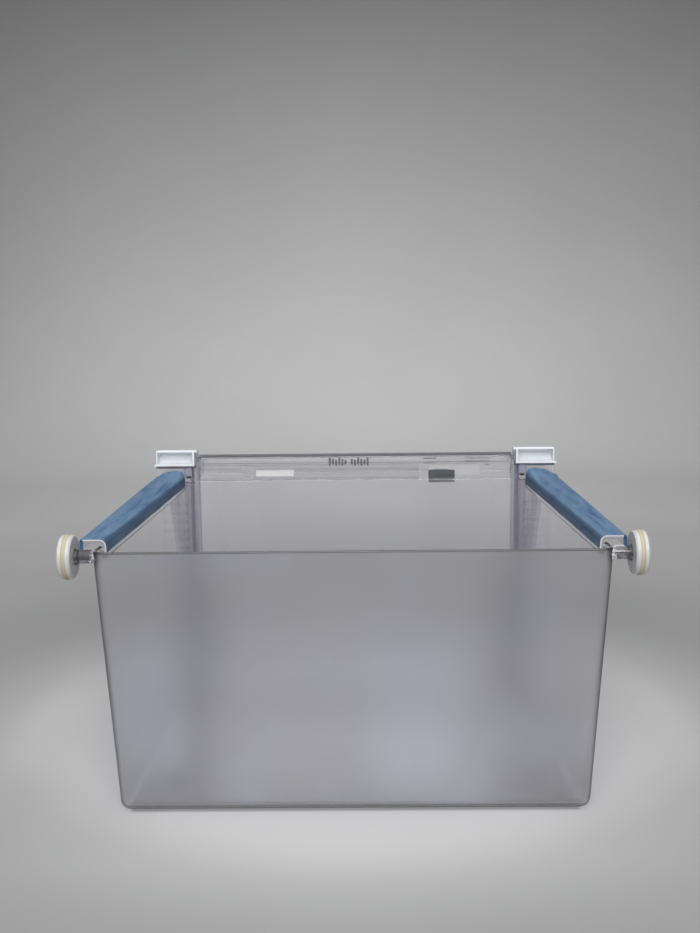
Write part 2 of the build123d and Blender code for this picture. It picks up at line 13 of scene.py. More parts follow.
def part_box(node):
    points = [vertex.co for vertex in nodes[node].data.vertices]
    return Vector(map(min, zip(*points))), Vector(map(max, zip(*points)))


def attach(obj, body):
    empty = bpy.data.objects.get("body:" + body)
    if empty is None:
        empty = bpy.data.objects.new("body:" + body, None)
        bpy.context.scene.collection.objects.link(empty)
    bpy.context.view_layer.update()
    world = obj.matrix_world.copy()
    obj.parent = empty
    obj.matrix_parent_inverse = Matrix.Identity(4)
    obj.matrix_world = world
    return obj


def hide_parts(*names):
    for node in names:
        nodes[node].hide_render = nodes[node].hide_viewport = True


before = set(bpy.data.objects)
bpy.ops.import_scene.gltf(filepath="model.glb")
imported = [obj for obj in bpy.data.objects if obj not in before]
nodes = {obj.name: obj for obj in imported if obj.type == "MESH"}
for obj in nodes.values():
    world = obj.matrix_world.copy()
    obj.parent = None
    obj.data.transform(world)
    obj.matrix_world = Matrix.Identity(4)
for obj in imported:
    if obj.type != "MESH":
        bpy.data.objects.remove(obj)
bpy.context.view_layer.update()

# Tub. One deep injection moulding in clear styrene with a faint violet cast, with its side rails, front
# shoulders and split axle pins. The outside of the rear wall is textured in the mould, so it looks frosted.
rim_half = 0.1755
rim_height = 0.1880
rear_lean = tan(radians(2.2))
side_lean = tan(radians(3.3))
rear_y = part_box("tub")[1].y
axle_height = 0.1838
axle_radius = 0.0047
clear_styrene = (0.955, 0.955, 0.968, 1.0)
styrene_cast = (0.55, 0.50, 0.68, 1.0)
styrene_depth = 12.0
styrene_clarity = 0.975
styrene_index = 1.57
lamp_through = (0.83, 0.83, 0.85, 1.0)
ripple_scale = 14.0
ripple_strength = 0.08
ripple_height = 0.0003
smear_scale = 55.0
gloss_least = 0.01
gloss_most = 0.05
frost_scale = 900.0
frost_least = 0.29
frost_most = 0.34


def new_finish(name):
    """A new material with its node tree and its one principled shader."""
    finish = bpy.data.materials.new(name)
    finish.use_nodes = True
    return finish, finish.node_tree, finish.node_tree.nodes["Principled BSDF"]


def feed(tree, node, inputs):
    """Each of these inputs of the node gets the output or the plain value given for it."""
    for name, value in inputs.items():
        if isinstance(value, bpy.types.NodeSocket):
            tree.links.new(value, node.inputs[name])
        else:
            node.inputs[name].default_value = value


def add(tree, kind, inputs=None, **settings):
    """One more node in a tree, with these settings and these inputs."""
    made = tree.nodes.new(kind)
    for name, value in settings.items():
        setattr(made, name, value)
    feed(tree, made, inputs or {})
    return made


def dress(node, finish):
    """The piece gets this finish in place of the plain one that it came with."""
    node.data.materials.clear()
    node.data.materials.append(finish)


def combined(tree, operation, *values):
    """The values joined one after another by this operation; each is an output or a plain number."""
    result = values[0]
    for value in values[1:]:
        result = add(tree, "ShaderNodeMath", {0: result, 1: value}, operation=operation).outputs[0]
    return result


def above(tree, value, bound):
    """1 where the value is above the bound, otherwise 0."""
    return combined(tree, "GREATER_THAN", value, bound)


def rising(tree, value, low, high):
    """0 where the value is below the first bound, 1 above the second, soft in between."""
    bounds = {"Value": value, "From Min": low, "From Max": high}
    return add(tree, "ShaderNodeMapRange", bounds, interpolation_type="SMOOTHSTEP").outputs["Result"]


def ranged(tree, value, low, high, least=0.0, most=1.0):
    """The value's range from low to high, laid evenly over the range from least to most."""
    bounds = {"Value": value, "From Min": low, "From Max": high, "To Min": least, "To Max": most}
    return add(tree, "ShaderNodeMapRange", bounds).outputs["Result"]


def within(tree, value, low, high, soft):
    """1 where the value lies between the bounds and 0 outside them, with soft edges of this width."""
    past = combined(tree, "SUBTRACT", 1.0, rising(tree, value, high - soft / 2, high + soft / 2))
    return combined(tree, "MULTIPLY", rising(tree, value, low - soft / 2, low + soft / 2), past)


def spot(tree, across, up, limits):
    """A soft patch: its (low, high, soft edge) across, the same upwards, and its strength."""
    across_limits, up_limits, strength = limits
    high = within(tree, up, *up_limits)
    return combined(tree, "MULTIPLY", within(tree, across, *across_limits), high, strength)


def mottled(tree, where, scale, detail=2.0, roughness=0.5, distortion=0.0):
    """Smooth noise of this scale over the places."""
    inputs = {"Vector": where, "Scale": scale, "Detail": detail}
    finer = {"Roughness": roughness, "Distortion": distortion}
    return add(tree, "ShaderNodeTexNoise", inputs | finer).outputs["Fac"]


def bumped(tree, shader, height, strength, distance):
    """The shader's surface rises with this height."""
    made = add(tree, "ShaderNodeBump", {"Height": height, "Strength": strength, "Distance": distance})
    feed(tree, shader, {"Normal": made.outputs["Normal"]})


def tinted(tree, colour, tint, share):
    """The colour, with this tint in its place as far as the share says."""
    return add(tree, "ShaderNodeMix", {0: share, 6: colour, 7: tint}, data_type="RGBA").outputs[2]


def toned(tree, value, stops, blue=1.0, blend="LINEAR"):
    """Colour by value through these stops: each a value, and a colour or a grey with its blue raised."""
    ramp = add(tree, "ShaderNodeValToRGB", {"Fac": value})
    ramp.color_ramp.interpolation = blend
    elements = ramp.color_ramp.elements
    elements.remove(elements[1])
    for number, (at, tone) in enumerate(stops):
        element = elements.new(at) if number else elements[0]
        element.position = at
        element.color = tone if isinstance(tone, tuple) else (tone, tone, tone * blue, 1.0)
    return ramp.outputs["Color"]


def parted(tree, where):
    """The places' x, distance from the middle plane, y and z."""
    parts = add(tree, "ShaderNodeSeparateXYZ", {0: where}).outputs
    return parts["X"], combined(tree, "ABSOLUTE", parts["X"], 0.0), parts["Y"], parts["Z"]


def clear_moulding(name, place_looks):
    """Clear plastic: it bends what is behind it, deepens in colour along its walls and lets lamps through.

    The given function turns the plain gloss into the roughness and the colour of each place, painted
    light and shade included.
    """
    finish, tree, shader = new_finish(name)
    place = add(tree, "ShaderNodeTexCoord")
    where = place.outputs["Object"]
    smears = mottled(tree, where, smear_scale, 5.0, 0.65)
    roughness, colour = place_looks(tree, place, ranged(tree, smears, 0.35, 0.8, gloss_least, gloss_most))
    feed(tree, shader, {"Base Color": colour, "Roughness": roughness})
    feed(tree, shader, {"Transmission Weight": styrene_clarity, "IOR": styrene_index})
    bumped(tree, shader, mottled(tree, where, ripple_scale, 2.0, 0.4), ripple_strength, ripple_height)
    path = add(tree, "ShaderNodeLightPath")
    straight = combined(tree, "MAXIMUM", path.outputs["Is Shadow Ray"], path.outputs["Is Diffuse Ray"])
    through = add(tree, "ShaderNodeBsdfTransparent", {"Color": lamp_through})
    lamps = add(tree, "ShaderNodeMixShader", {0: straight, 1: shader.outputs[0], 2: through.outputs[0]})
    absorb = add(tree, "ShaderNodeVolumeAbsorption", {"Color": styrene_cast, "Density": styrene_depth})
    feed(tree, tree.nodes["Material Output"], {"Surface": lamps.outputs[0], "Volume": absorb.outputs[0]})
    return finish


# Painted light and shade on the frosted rear wall, for what shows through it: painted shade darker towards
# the bottom, painted dark bands where the panel's posts show, patches of painted pale bluish light, and
# painted shade over the feet.
painted_wall_shade_low = (0.41, 0.41, 0.415, 1.0)
painted_wall_shade_tones = ((0.0, painted_wall_shade_low), (0.10, 0.455), (0.30, 0.62), (0.55, 0.73), (0.85, 0.68), (1.0, 0.60))
wall_cast = 1.02
frosted_skin = 0.0009
painted_band_shade = (0.42, 0.42, 0.45, 1.0)
band_limits = ((0.090, 0.116, 0.045), (0.075, 0.175, 0.060), 0.60)
painted_light_and_mottle_blue = (0.78, 0.84, 0.97, 1.0)
blue_limits = ((-0.075, -0.010, 0.050), (0.020, 0.125, 0.060), 0.70)
pale_limits = ((0.118, 0.160, 0.035), (0.035, 0.120, 0.060), 0.85)
cloud_scale = 16.0
cloud_share = 0.30
painted_foot_shade = (0.30, 0.30, 0.31, 1.0)
foot_shade_limits = ((0.116, 0.128, 0.018), (0.020, 0.027, 0.020), 0.70)
# Painted shade around the rounded rear corners.
painted_corner_shade = (0.16, 0.155, 0.19, 1.0)
corner_reach = 0.0078
corner_turn = (0.22, 0.95)
# Painted shade: a dark line along the rear rim.
painted_rim_shade = (0.10, 0.095, 0.11, 1.0)
rim_line = 0.0013
rim_reach = 0.0040
# Painted shade along the bottom edge of the rear wall, with a painted glint line above it.
painted_base_shade = (0.30, 0.295, 0.32, 1.0)
base_shade_line = (0.0, 0.0030, 0.0006)
glint_white = (1.0, 1.0, 1.0, 1.0)
glint_line = (0.0034, 0.0050, 0.0006)
base_reach = 0.0075
# Painted shade: a dark line along the shelf under each cap.
painted_shelf_shade = (0.24, 0.23, 0.27, 1.0)
shelf_line = (0.2004, 0.2030, 0.0004)
shelf_from = 0.150
# Painted shade: dark violet columns at the tub's front corners.
painted_column_shade = (0.50, 0.475, 0.57, 1.0)
column_width = (0.151, 0.1615, 0.003)
column_front = -0.130
column_share = 0.8
# Painted highlights and shade in bands across the split axle pins.
axle_root = 0.0010
axle_reach = 0.0145
axle_cast = 1.06
painted_axle_light = ((0.0, 0.10), (0.14, 0.45), (0.20, 0.95), (0.26, 0.06), (0.36, 0.12), (0.55, 0.22), (0.72, 0.90),
              (1.0, 0.18))


def corner_share(tree, place, x, behind):
    """0 on the rear wall, rising to 1 around the outside of its rounded corners."""
    facing = parted(tree, place.outputs["Normal"])[0]
    outwards = combined(tree, "MULTIPLY", facing, combined(tree, "SIGN", x, 0.0))
    outside = combined(tree, "SUBTRACT", 1.0, add(tree, "ShaderNodeNewGeometry").outputs["Backfacing"])
    near = above(tree, behind, -corner_reach)
    return combined(tree, "MULTIPLY", rising(tree, outwards, *corner_turn), near, outside)


def frosted_wall(tree, where):
    """Colour of the frosted rear wall, all painted light and shade: darker towards the bottom, with dark
    bands where the posts show, pale bluish patches of light mixed with a random cloudy tone, and shade over
    the feet.
    """
    x, aside, _, height = parted(tree, where)
    wall = toned(tree, combined(tree, "DIVIDE", height, rim_height), painted_wall_shade_tones, wall_cast)
    wall = tinted(tree, wall, painted_band_shade, spot(tree, aside, height, band_limits))
    cloud = rising(tree, mottled(tree, where, cloud_scale, 2.0, 0.45), 0.42, 0.75)
    patches = (spot(tree, x, height, blue_limits), spot(tree, x, height, pale_limits))
    light_and_mottle = combined(tree, "MAXIMUM", *patches, combined(tree, "MULTIPLY", cloud, cloud_share))
    wall = tinted(tree, wall, painted_light_and_mottle_blue, light_and_mottle)
    return tinted(tree, wall, painted_foot_shade, spot(tree, aside, height, foot_shade_limits))


def tub_look_and_painted_light(tree, place, gloss):
    """Roughness and colour of the tub by place: frosted at the back, with painted light and shade on the
    frosted wall, its corners, rim and base, the shelves, the front columns and the axle pins.
    """
    where = place.outputs["Object"]
    x, aside, y, height = parted(tree, where)
    upright = Vector((0, 1, -rear_lean)).normalized()
    face_at = upright.dot(Vector((0, rear_y, rim_height)))
    outward = add(tree, "ShaderNodeVectorMath", {0: where, 1: upright}, operation="DOT_PRODUCT")
    behind = combined(tree, "SUBTRACT", outward.outputs["Value"], face_at)
    corner = corner_share(tree, place, x, behind)
    on_face = combined(tree, "MAXIMUM", above(tree, behind, -frosted_skin), above(tree, corner, 0.0))
    frost = ranged(tree, mottled(tree, where, frost_scale), 0.3, 0.7, frost_least, frost_most)
    roughness = add(tree, "ShaderNodeMix", {0: on_face, 2: gloss, 3: frost}, data_type="FLOAT").outputs[0]
    colour = tinted(tree, clear_styrene, frosted_wall(tree, where), on_face)
    colour = tinted(tree, colour, painted_corner_shade, corner)
    top = above(tree, height, rim_height - rim_line)
    colour = tinted(tree, colour, painted_rim_shade, combined(tree, "MULTIPLY", top, above(tree, behind, -rim_reach)))
    low = above(tree, behind, -base_reach)
    for tint, line in ((glint_white, glint_line), (painted_base_shade, base_shade_line)):
        colour = tinted(tree, colour, tint, combined(tree, "MULTIPLY", within(tree, height, *line), low))
    shelf = combined(tree, "MULTIPLY", within(tree, height, *shelf_line), above(tree, aside, shelf_from))
    colour = tinted(tree, colour, painted_shelf_shade, shelf)
    in_front = combined(tree, "LESS_THAN", y, column_front)
    column = combined(tree, "MULTIPLY", within(tree, aside, *column_width), in_front, column_share)
    colour = tinted(tree, colour, painted_column_shade, column)
    beside = above(tree, aside, rim_half + axle_root)
    pin = combined(tree, "MULTIPLY", beside, above(tree, y, rear_y - axle_reach))
    over = combined(tree, "SUBTRACT", height, axle_height - axle_radius)
    axle_light_bars = toned(tree, combined(tree, "DIVIDE", over, 2 * axle_radius), painted_axle_light, axle_cast)
    return roughness, tinted(tree, colour, axle_light_bars, pin)


dress(nodes["tub"], clear_moulding("clear_frosted_styrene", tub_look_and_painted_light))

# Front panel. A separate clear moulding that stands in front of the tub: plate, handle arch, posts and ribs
# in one piece. It hangs between the shoulders and is locked there by the two corner caps.
post_inner = 0.1474
post_outer = 0.1558
post_edge = 0.0006
# Painted shade: dark violet streaks on the posts and a dark bead along the top of the strip.
painted_post_shade = (0.40, 0.38, 0.47, 1.0)
post_streaks = (620.0, 60.0, 7.0)
bead_low = 0.2086
bead_end = 0.0010
bead_matt = 0.6
painted_bead_shade = (0.30, 0.30, 0.315, 1.0)
ear_violet = (0.95, 0.95, 1.0, 1.0)


def stretched(tree, where, scale):
    """The places, each axis scaled by its own factor."""
    return add(tree, "ShaderNodeMapping", {"Vector": where, "Scale": scale}).outputs["Vector"]


def panel_look_and_painted_shade(tree, place, gloss):
    """Roughness and colour of the panel by place: painted shade as a dark bead on top and dark streaks on
    the posts, and violet ears.
    """
    where = place.outputs["Object"]
    _, aside, _, height = parted(tree, where)
    between = combined(tree, "LESS_THAN", aside, post_inner + bead_end)
    bead = combined(tree, "MULTIPLY", above(tree, height, bead_low), between)
    streak = rising(tree, mottled(tree, stretched(tree, where, post_streaks), 1.0), 0.38, 0.58)
    post = combined(tree, "MULTIPLY", within(tree, aside, post_inner, post_outer, post_edge), streak)
    colour = tinted(tree, clear_styrene, ear_violet, above(tree, aside, post_outer))
    colour = tinted(tree, colour, painted_post_shade, post)
    colour = tinted(tree, colour, painted_bead_shade, bead)
    return combined(tree, "MAXIMUM", gloss, combined(tree, "MULTIPLY", bead, bead_matt)), colour


panel_finish = clear_moulding("clear_panel_styrene", panel_look_and_painted_shade)
dress(nodes["front_panel"], panel_finish)

# Corner caps. White moulded caps pressed down over the shoulders, each open to the rear. Their satin
# surface is a little uneven, with a faint mottle in colour and gloss and a fine moulded grain.
cap_white = (0.84, 0.865, 0.90, 1.0)
cap_shade = (0.74, 0.775, 0.83, 1.0)
cap_roughness = 0.38
mottle_scale = 60.0
gloss_below = 0.08
gloss_over = 0.10
grain_strength = 0.15
grain_height = 0.0001


def satin_moulding(name, colour, shade, roughness, grain_scale=1500.0):
    """Opaque moulded plastic: a faint mottle in its colour, uneven satin gloss and a fine moulded grain."""
    finish, tree, shader = new_finish(name)
    where = add(tree, "ShaderNodeTexCoord").outputs["Object"]
    mottle = mottled(tree, where, mottle_scale, 6.0, 0.6)
    uneven = ranged(tree, mottle, 0.0, 1.0, roughness - gloss_below, roughness + gloss_over)
    feed(tree, shader, {"Base Color": tinted(tree, colour, shade, ranged(tree, mottle, 0.55, 0.95))})
    feed(tree, shader, {"Roughness": uneven})
    bumped(tree, shader, mottled(tree, where, grain_scale), grain_strength, grain_height)
    return finish


cap_finish = satin_moulding("white_cap_plastic", cap_white, cap_shade, cap_roughness)
for side in ("left", "right"):
    dress(nodes[f"corner_cap_{side}"], cap_finish)

# Rail films. Thin blue protective film that was never peeled off: it lies over the top of each rail, wraps
# the outer edge by a millimetre and runs down the inner face, with creases along the rounded corner.
narrowing = 0.0100 / 0.312
rail_inset = 0.0058
rail_top = 0.1929
rail_outer = 0.1870
rail_outer_radius = 0.0011
rail_inner_radius = 0.0044
film_from = 0.0200
film_to = 0.3025
film_low = 0.1840
film_wrap = 0.0012
film_tab = 0.0062
film_tab_length = 0.006
film_clearance = 0.00006
film_thickness = 0.00012
film_ragged = 0.0006
film_end_wave = 0.0008
fold_height = 0.00022
pucker_height = 0.00030
wrinkle_height = 0.00012
pucker_middle = 0.72
pucker_reach = 0.16
curl_from = 0.274
curl_power = 1.7
curl_heights = ((0.0, -0.0010), (0.12, 0.0008), (0.34, 0.0044), (0.56, 0.0058), (0.72, 0.0052),
                (0.86, 0.0018), (1.0, 0.0))
steps_across = 30
steps_along = 260


def rail_inner(run, height):
    """The x of a rail's inner face, this far in front of the rear rim and this high."""
    return rim_half - narrowing * run - side_lean * (rim_height - height) - rail_inset


def on_round(centre, radius, angle):
    """Place and outward direction at this angle of a rounded corner."""
    way = (cos(angle), sin(angle))
    return (centre[0] + radius * way[0], centre[1] + radius * way[1]), way


def film_section(share, run):
    """Place (x, z) and outward direction of the film's section, from its outer edge to its inner one."""
    near_end = max(0.0, 1 - (run - film_from) / film_tab_length)
    wrap = film_wrap + (film_tab - film_wrap) * near_end ** 2
    lean = atan(side_lean)
    outer_centre = (rail_outer - rail_outer_radius, rail_top - rail_outer_radius)
    inner_x = rail_inner(run, rail_top) + rail_inner_radius * (1 - sin(lean)) / cos(lean)
    inner_centre = (inner_x, rail_top - rail_inner_radius)
    corner_low = rail_top - rail_inner_radius * (1 - sin(lean))
    outer_arc = rail_outer_radius * pi / 2
    top = outer_centre[0] - inner_x
    inner_arc = rail_inner_radius * (pi / 2 - lean)
    along = share * (wrap + outer_arc + top + inner_arc + (corner_low - film_low) / cos(lean))
    if along <= wrap:
        return (rail_outer, outer_centre[1] - (wrap - along)), (1.0, 0.0)
    along -= wrap
    if along <= outer_arc:
        return on_round(outer_centre, rail_outer_radius, along / rail_outer_radius)
    along -= outer_arc
    if along <= top:
        return (outer_centre[0] - along, rail_top), (0.0, 1.0)
    along -= top
    if along <= inner_arc:
        return on_round(inner_centre, rail_inner_radius, pi / 2 + along / rail_inner_radius)
    height = corner_low - (along - inner_arc) * cos(lean)
    return (rail_inner(run, height), height), (-cos(lean), sin(lean))


def film_lift(share, run, seed, creases):
    """How far the film stands off the rail: long folds, short puckers along the corner, single creases."""
    folds = noise.noise(Vector((share * 6.0, run * 16.0, seed)))
    puckers = noise.noise(Vector((share * 22.0, run * 95.0, seed + 3.0)))
    corner = max(0.0, 1 - abs(share - pucker_middle) / pucker_reach)
    lift = fold_height * max(0.0, folds) + pucker_height * corner * max(0.0, puckers + 0.1)
    lift += wrinkle_height * max(0.0, noise.noise(Vector((share * 40.0, run * 40.0, seed + 7.0))))
    for at, lean, width, height in creases:
        off = abs(run - at - lean * (share - 0.45)) / width
        lift += height * max(0.0, 1 - off) ** 2 * min(1.0, 4 * max(0.0, 0.75 - share))
    return lift


def curl(share, run):
    """How far the loose front end of the film has curled up."""
    if run <= curl_from:
        return 0.0
    reach = ((run - curl_from) / (film_to - curl_from)) ** curl_power
    for (low, start), (high, end) in zip(curl_heights, curl_heights[1:]):
        if share <= high:
            return reach * (start + (end - start) * (share - low) / (high - low))
    return 0.0


def placed(name, mesh, smooth=False):
    """A new object in the scene from this mesh, flat or smooth to the light."""
    data = bpy.data.meshes.new(name)
    mesh.to_mesh(data)
    mesh.free()
    for face in data.polygons:
        face.use_smooth = smooth
    made = bpy.data.objects.new(name, data)
    bpy.context.scene.collection.objects.link(made)
    return made


def rail_film(name, side, seed, creases):
    """One film, built as a thin closed skin in the frame of the right-hand rail and mirrored for the left."""
    mesh = bmesh.new()
    rows = []
    for j in range(steps_along + 1):
        run = film_from + (film_to - film_from) * j / steps_along
        row = []
        for i in range(steps_across + 1):
            share = i / steps_across
            ragged = film_ragged * noise.noise(Vector((share * 5.0, run * 30.0, seed + 11.0)))
            place, way = film_section(share, run)
            lift = film_clearance + film_lift(share, run, seed, creases)
            y = rear_y - run
            if j in (0, steps_along):
                y += film_end_wave * noise.noise(Vector((share * 9.0, seed, 2.0)))
            z = place[1] + way[1] * lift + curl(share, run)
            if i == steps_across:
                z += ragged
            row.append(mesh.verts.new((side * (place[0] + way[0] * lift), y, z)))
        rows.append(row)
    for near, far in zip(rows, rows[1:]):
        for i in range(steps_across):
            corners = (near[i], near[i + 1], far[i + 1], far[i])
            mesh.faces.new(corners if side > 0 else corners[::-1])
    bmesh.ops.recalc_face_normals(mesh, faces=mesh.faces)
    film = placed(name, mesh, True)
    skin = film.modifiers.new("thickness", "SOLIDIFY")
    skin.thickness = film_thickness
    on_top = film.data.polygons[steps_across * 10 + 12]
    skin.offset = 1.0 if on_top.normal.z > 0 else -1.0
    return film


film_dark = (0.038, 0.095, 0.205, 1.0)
film_blue = (0.092, 0.170, 0.285, 1.0)
film_pale = (0.155, 0.240, 0.345, 1.0)
film_tones = ((0.30, film_dark), (0.46, film_blue), (0.72, film_pale))
film_streaks = (150.0, 22.0, 150.0)
film_ticks = (70.0, 380.0, 70.0)
film_tick_band = (0.12, 0.50, 0.12)
film_tick_share = 0.7
film_crown = 0.0003
film_side_height = 0.0095
# Painted light and shade down the film: painted shade over the outer wrap and the rounded inner corner,
# painted light along the lower edge of the inner side.
painted_film_side_light = ((0.0, 1.0), (0.07, 0.98), (0.14, 0.62), (0.38, 0.60), (0.52, 0.95), (0.90, 1.05),
                   (1.0, 1.5))
film_sheen = 0.22
film_gloss = 0.42
film_matt = 0.65
film_bump = 0.4
film_bump_height = 0.0003


def blue_film():
    """Blue film: random streaks along its length, with painted shade over its wrapped edge and rounded
    corner and in dark ticks where it puckers, and a painted light line along its lower edge.
    """
    finish, tree, shader = new_finish("blue_protective_film")
    where = add(tree, "ShaderNodeTexCoord").outputs["Object"]
    streaks = mottled(tree, stretched(tree, where, film_streaks), 1.0, 5.0, 0.6, 0.6)
    from_top = combined(tree, "SUBTRACT", rail_top + film_crown, parted(tree, where)[3])
    down = combined(tree, "DIVIDE", from_top, film_side_height)
    layers = {0: toned(tree, streaks, film_tones), 1: toned(tree, down, painted_film_side_light)}
    tone_and_painted_light = add(tree, "ShaderNodeVectorMath", layers, operation="MULTIPLY").outputs["Vector"]
    ticks = rising(tree, mottled(tree, stretched(tree, where, film_ticks), 1.0), 0.48, 0.62)
    painted_crease_shade = combined(tree, "MULTIPLY", ticks, within(tree, down, *film_tick_band), film_tick_share)
    gloss = ranged(tree, streaks, 0.0, 1.0, film_gloss, film_matt)
    feed(tree, shader, {"Base Color": tinted(tree, tone_and_painted_light, film_dark, painted_crease_shade), "Roughness": gloss})
    feed(tree, shader, {"Specular IOR Level": film_sheen})
    bumped(tree, shader, streaks, film_bump, film_bump_height)
    return finish


film_finish = blue_film()
left_creases = [(0.168, 0.014, 0.0035, 0.0006), (0.285, -0.02, 0.006, 0.0012)]
right_creases = [(0.110, 0.03, 0.004, 0.0003), (0.262, -0.02, 0.004, 0.0004)]
for side_name, side, seed, creases in (("left", -1, 2.0, left_creases), ("right", 1, 9.0, right_creases)):
    film = rail_film(f"protective_film_{side_name}", side, seed, creases)
    dress(film, film_finish)
    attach(film, "drawer")
    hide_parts(f"rail_film_{side_name}")

# Rail ends. The rear end of each rail is the cut edge of the same clear moulding, so it catches the light:
# thin ribbons on it carry a painted highlight as a pale line along its outside and painted shade as grey
# within the wall. The film's loose corner hangs over it.
painted_end_highlight = (0.66, 0.66, 0.68, 1.0)
painted_end_highlight_mottle = (0.52, 0.52, 0.55, 1.0)
painted_end_shade = (0.30, 0.30, 0.325, 1.0)
painted_end_shade_mottle = (0.22, 0.22, 0.25, 1.0)
end_roughness = 0.5
end_stand_off = 0.00008
end_line_from = 0.28
end_line = 0.0007
end_width = 0.0021


def rail_end(name, side, shares, depths, finish):
    """A thin ribbon on the rail's cut end along its section, between these depths inside its outline."""
    mesh = bmesh.new()
    pairs = []
    steps = steps_across * 2
    for i in range(steps + 1):
        place, way = film_section(shares[0] + (shares[1] - shares[0]) * i / steps, film_from)
        pair = []
        for tone_and_painted_light in depths:
            x = side * (place[0] - way[0] * tone_and_painted_light)
            pair.append(mesh.verts.new((x, rear_y - film_from + end_stand_off, place[1] - way[1] * tone_and_painted_light)))
        pairs.append(pair)
    for (a, b), (c, d) in zip(pairs, pairs[1:]):
        mesh.faces.new((a, b, d, c) if side > 0 else (c, d, b, a))
    ribbon = placed(name, mesh)
    dress(ribbon, finish)
    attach(ribbon, "drawer")


end_highlight_finish = satin_moulding("painted_highlight_rail_end", painted_end_highlight, painted_end_highlight_mottle, end_roughness)
end_shade_finish = satin_moulding("painted_shade_rail_end", painted_end_shade, painted_end_shade_mottle, end_roughness)
blue_end = satin_moulding("film_corner", film_dark, film_blue, 0.6)
for side_name, side in (("left", -1), ("right", 1)):
    rail_end(f"rail_end_line_{side_name}", side, (end_line_from, 1.0), (0.0, end_line), end_highlight_finish)
    rail_end(f"rail_end_{side_name}", side, (end_line_from, 1.0), (end_line, end_width), end_shade_finish)
    rail_end(f"film_corner_{side_name}", side, (0.0, end_line_from), (0.0, end_width), blue_end)

# Rollers. White acetal wheels with bright flanges. Each is pushed on its split pin until the pin's barbs
# snap out again, and turns freely there.
roller_white = (0.52, 0.52, 0.52, 1.0)
roller_shade = (0.46, 0.46, 0.45, 1.0)
roller_finish = satin_moulding("white_roller_plastic", roller_white, roller_shade, 0.34, 1200.0)
for side_name in ("left", "right"):
    dress(nodes[f"roller_{side_name}"], roller_finish)

# Tyres. Soft beige rings, moulded from a rubber-like plastic and stretched into the rollers' grooves.
# They have yellowed a little and hold some dust.
tyre_beige = (0.44, 0.39, 0.27, 1.0)
tyre_dust = (0.52, 0.49, 0.39, 1.0)
tyre_finish = satin_moulding("beige_tyre_rubber", tyre_beige, tyre_dust, 0.62, 2200.0)
for side_name in ("left", "right"):
    dress(nodes[f"roller_tyre_{side_name}"], tyre_finish)

# Humidity control. A clear channel and a clear bar behind the handle strip, with a white plate and a dark
# ribbed knob that slide along it and cover or free the window.
plate_white = (0.53, 0.53, 0.53, 1.0)
plate_shade = (0.47, 0.47, 0.47, 1.0)
knob_grey = (0.085, 0.092, 0.102, 1.0)
knob_worn = (0.13, 0.14, 0.15, 1.0)
dress(nodes["vent_guide"], panel_finish)
dress(nodes["vent_link"], panel_finish)
dress(nodes["vent_shutter"], satin_moulding("white_shutter_plastic", plate_white, plate_shade, 0.45))
dress(nodes["humidity_knob"], satin_moulding("grey_knob_plastic", knob_grey, knob_worn, 0.42))

# Vent seal. A strip of white plastic, six millimetres high, that closes the window of the humidity
# control from inside the guide. It is pressed in and lies just behind the strip.
panel_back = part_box("vent_guide")[0].y - 0.0001
seal_white = (0.80, 0.80, 0.79, 1.0)
seal_shade = (0.68, 0.68, 0.67, 1.0)
seal_gap = 0.0005
seal_wall = 0.0006
seal_from = 0.0583
seal_to = 0.0942
seal_low = 0.1908
seal_high = 0.1971


def thin_plate(name, across, back, tone_and_painted_light, up, finish):
    """A small plate fixed on the drawer, from its back towards the front, with its limits across and up."""
    mesh = bmesh.new()
    bmesh.ops.create_cube(mesh, size=1.0)
    limits = (across, (back - tone_and_painted_light, back), up)
    for vertex in mesh.verts:
        for axis, (low, high) in enumerate(limits):
            vertex.co[axis] = (low + high) / 2 + (high - low) * vertex.co[axis]
    plate = placed(name, mesh)
    dress(plate, finish)
    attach(plate, "drawer")


seal_finish = satin_moulding("white_vent_seal", seal_white, seal_shade, 0.4)
seal_back = panel_back + seal_gap + seal_wall
thin_plate("vent_seal", (seal_from, seal_to), seal_back, seal_wall, (seal_low, seal_high), seal_finish)

# Release windows. Each cap's leg ends in a hook that holds the cap down. A thin dark plate behind the
# release window below each cap is painted shade for the dark inside of the window.
painted_window_shade = (0.03, 0.03, 0.035, 1.0)
painted_window_shade_mottle = (0.05, 0.05, 0.055, 1.0)
window_shade_back = rear_y - 0.3070
window_shade_wall = 0.0004
window_shade_inner = 0.1548
window_shade_outer = 0.1592
window_shade_limits = (0.1908, 0.1929)
window_shade_finish = satin_moulding("painted_release_window_shade", painted_window_shade, painted_window_shade_mottle, 0.5)
for side_name, across in (("left", (-window_shade_outer, -window_shade_inner)), ("right", (window_shade_inner, window_shade_outer))):
    thin_plate(f"release_window_shade_{side_name}", across, window_shade_back, window_shade_wall, window_shade_limits, window_shade_finish)

